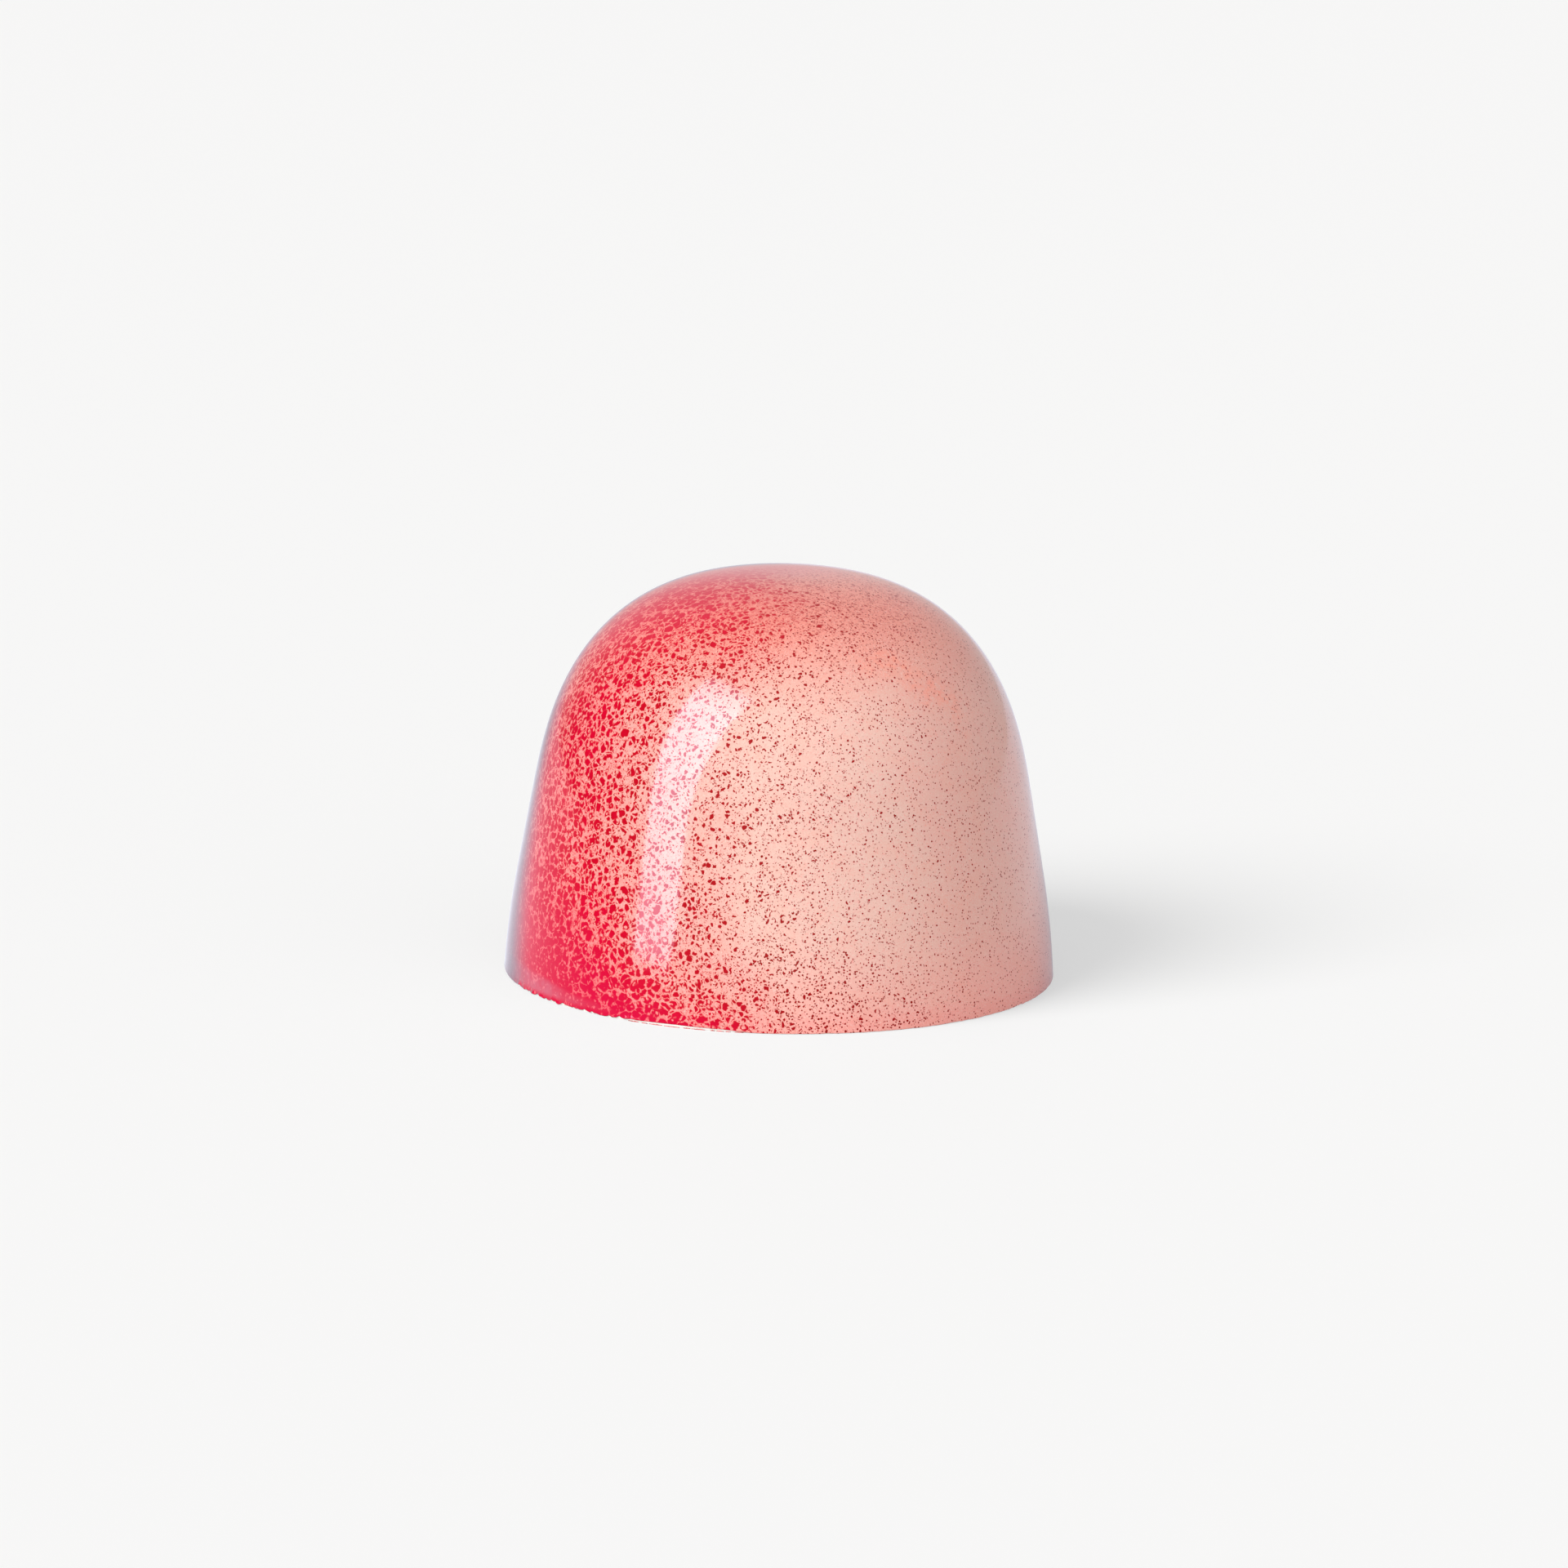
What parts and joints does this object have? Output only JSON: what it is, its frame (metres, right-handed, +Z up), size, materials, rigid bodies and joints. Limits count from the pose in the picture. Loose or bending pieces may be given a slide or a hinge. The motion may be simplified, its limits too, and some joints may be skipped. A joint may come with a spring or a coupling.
{
  "type": "chocolate bonbon",
  "caption": "Moulded chocolate bonbon: a solid dome with drafted sides, a rounded crown and a flat foot, in glossy peach cocoa butter splattered with red.",
  "frame": {"origin": "middle of the flat foot, on the surface that the bonbon rests on", "axes": "+Z up through the crown; -Y is the side that faces the viewer, and the red paint is thickest towards -X"},
  "size_m": [0.029, 0.029, 0.0213],
  "materials": {
    "coloured_cocoa_butter": "glossy moulded cocoa butter, peach pink with a red splatter that thickens to solid red on one side"
  },
  "bodies": {
    "root": {"bonbon": "coloured_cocoa_butter"}
  },
  "joints": []
}
